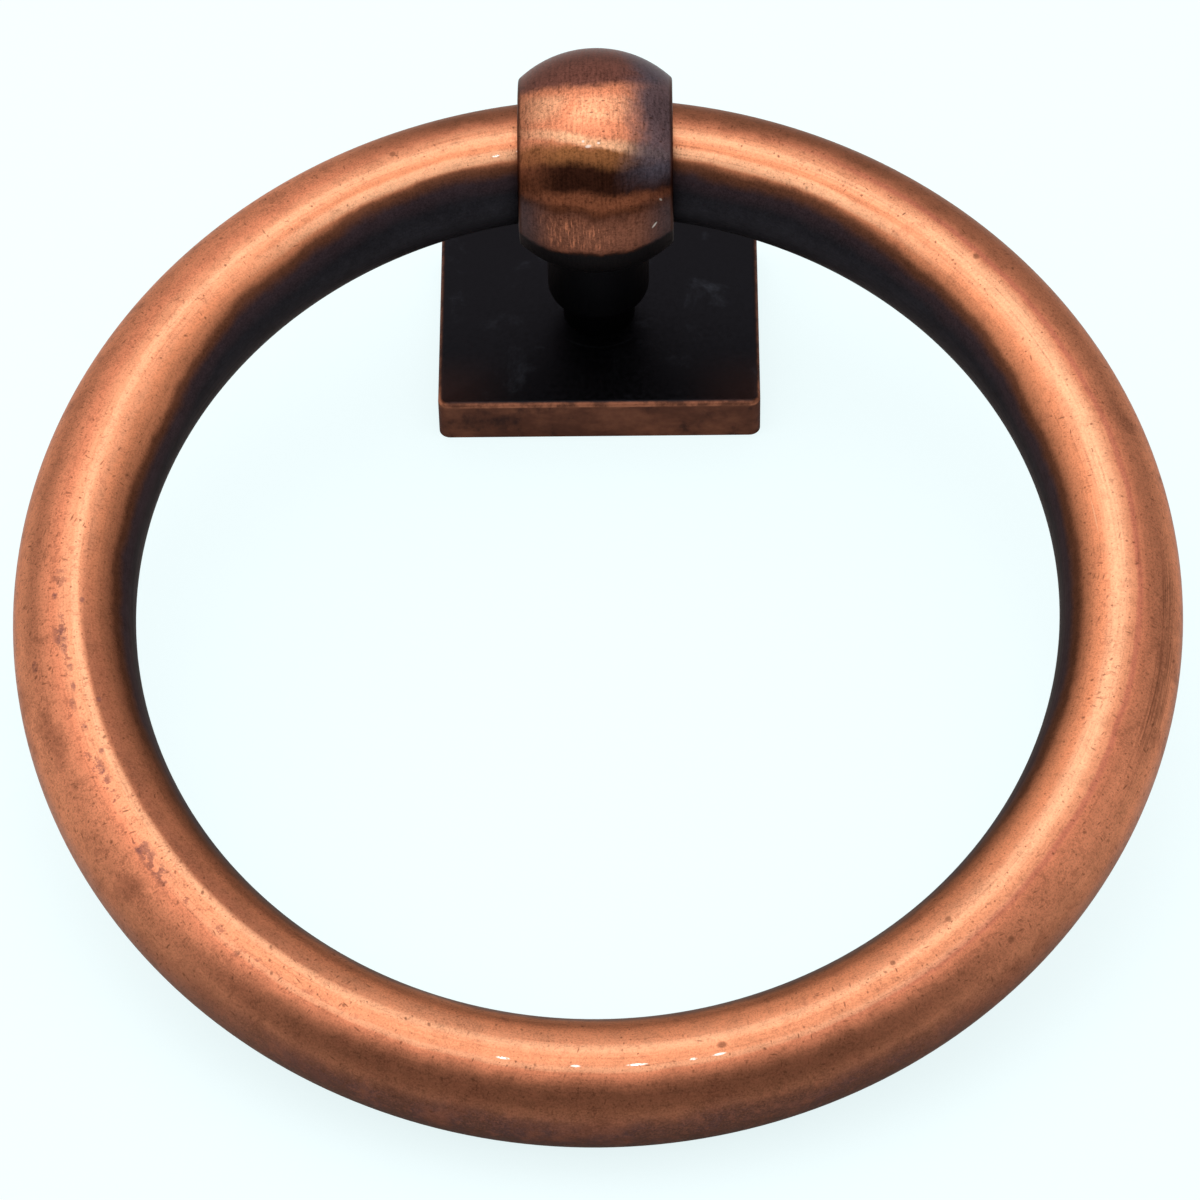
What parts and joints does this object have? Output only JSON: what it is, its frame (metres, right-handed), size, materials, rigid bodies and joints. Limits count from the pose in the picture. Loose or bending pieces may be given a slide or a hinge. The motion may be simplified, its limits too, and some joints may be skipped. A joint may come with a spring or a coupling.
{
  "type": "ring pull handle",
  "caption": "Heavy round ring that swings in the cross bore of a ball-headed post on a small rectangular backplate, for pulling a door or drawer.",
  "frame": {"origin": "mouth of the tapped screw hole, at the centre of the backplate's back face", "axes": "+Z out of the backplate along the post, +Y towards the top of the backplate, +X to the right seen from the front; the ring lies towards -Y at rest"},
  "size_m": [0.089, 0.0926, 0.0302],
  "materials": {
    "plate": "black patina over copper, worn bright on the edges",
    "post": "brushed antique copper, black on the neck",
    "ring": "satin antique copper with dark patina"
  },
  "bodies": {
    "base": {"backplate": "plate", "post": "post"},
    "ring": {"ring": "ring"}
  },
  "joints": [
    {"name": "ring_swing", "type": "hinge", "parent": "base", "child": "ring", "pos_m": [0, 0, 0.0213], "axis": [-1, 0, 0], "range_deg": [0, 204.1]}
  ]
}
